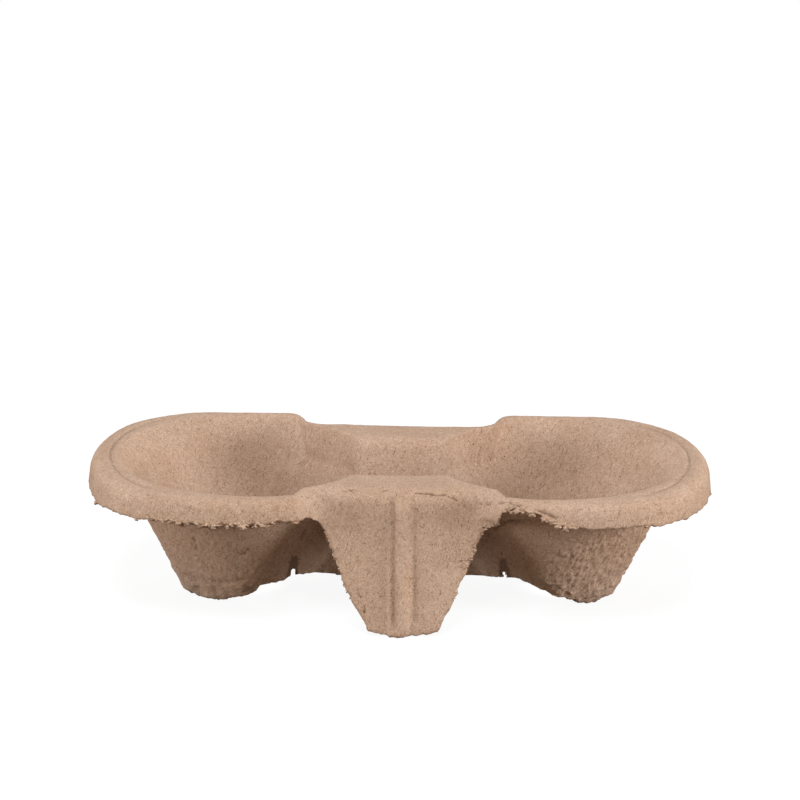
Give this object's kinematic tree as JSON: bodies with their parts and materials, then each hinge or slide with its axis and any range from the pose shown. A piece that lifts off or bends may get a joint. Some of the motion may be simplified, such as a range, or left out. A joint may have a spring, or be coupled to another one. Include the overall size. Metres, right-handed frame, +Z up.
{
  "type": "cup carrier",
  "caption": "Moulded pulp cup carrier: a rolled rim, tapered round pockets joined by a low valley, and leaning legs under the saddles at the front and back.",
  "frame": {"origin": "on the ground, midway between the pockets", "axes": "+X along the row of pockets, +Z up, out of the pockets"},
  "size_m": [0.22, 0.11, 0.0505],
  "materials": {
    "pulp": "matt unbleached moulded pulp with fibres and specks"
  },
  "bodies": {
    "root": {"cup_carrier": "pulp"}
  },
  "joints": []
}
